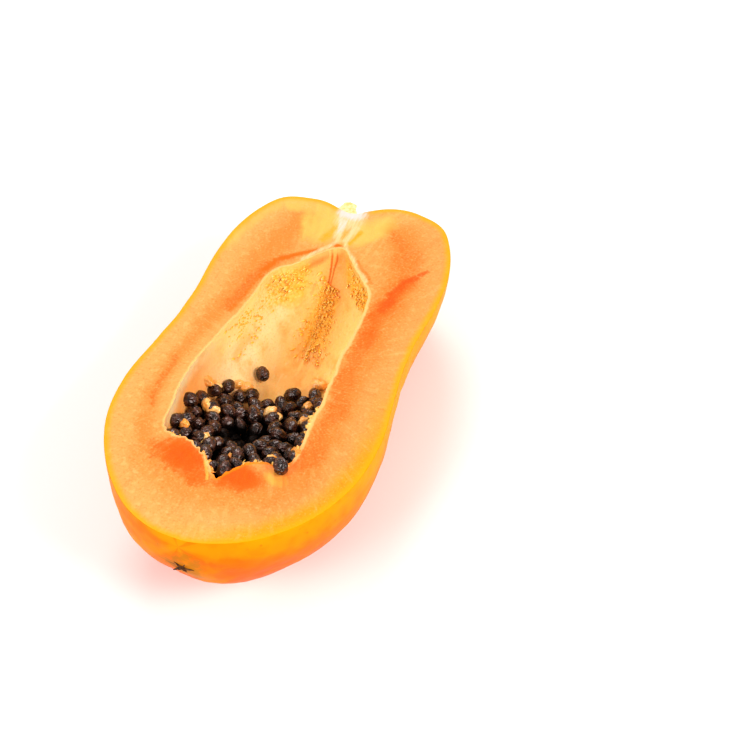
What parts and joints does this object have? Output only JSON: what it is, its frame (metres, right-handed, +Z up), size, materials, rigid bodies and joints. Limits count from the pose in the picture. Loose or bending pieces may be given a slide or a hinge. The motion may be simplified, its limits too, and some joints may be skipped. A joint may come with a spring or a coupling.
{
  "type": "papaya half",
  "caption": "Half of a papaya cut lengthwise, lying on its skin with the cut face up: flesh round an open seed cavity, a heap of ripe seeds and a torn stem stub.",
  "frame": {"origin": "on the ground under the middle of the half's bounding box", "axes": "+Y from the blossom end to the stem, +Z up out of the cut face, +X to the right seen from above with the stem away"},
  "size_m": [0.103, 0.1902, 0.0635],
  "materials": {
    "fruit": "waxy yellow to orange skin, moist orange flesh with fine fibres, pale lining",
    "pith": "dry, torn, off-white",
    "seed": "wet, wrinkled, black-brown"
  },
  "bodies": {
    "root": {"fruit_half": "fruit", "stem_stub": "pith", "seed_heap": "seed", "lone_seed": "seed", "lip_seed": "seed"}
  },
  "joints": []
}
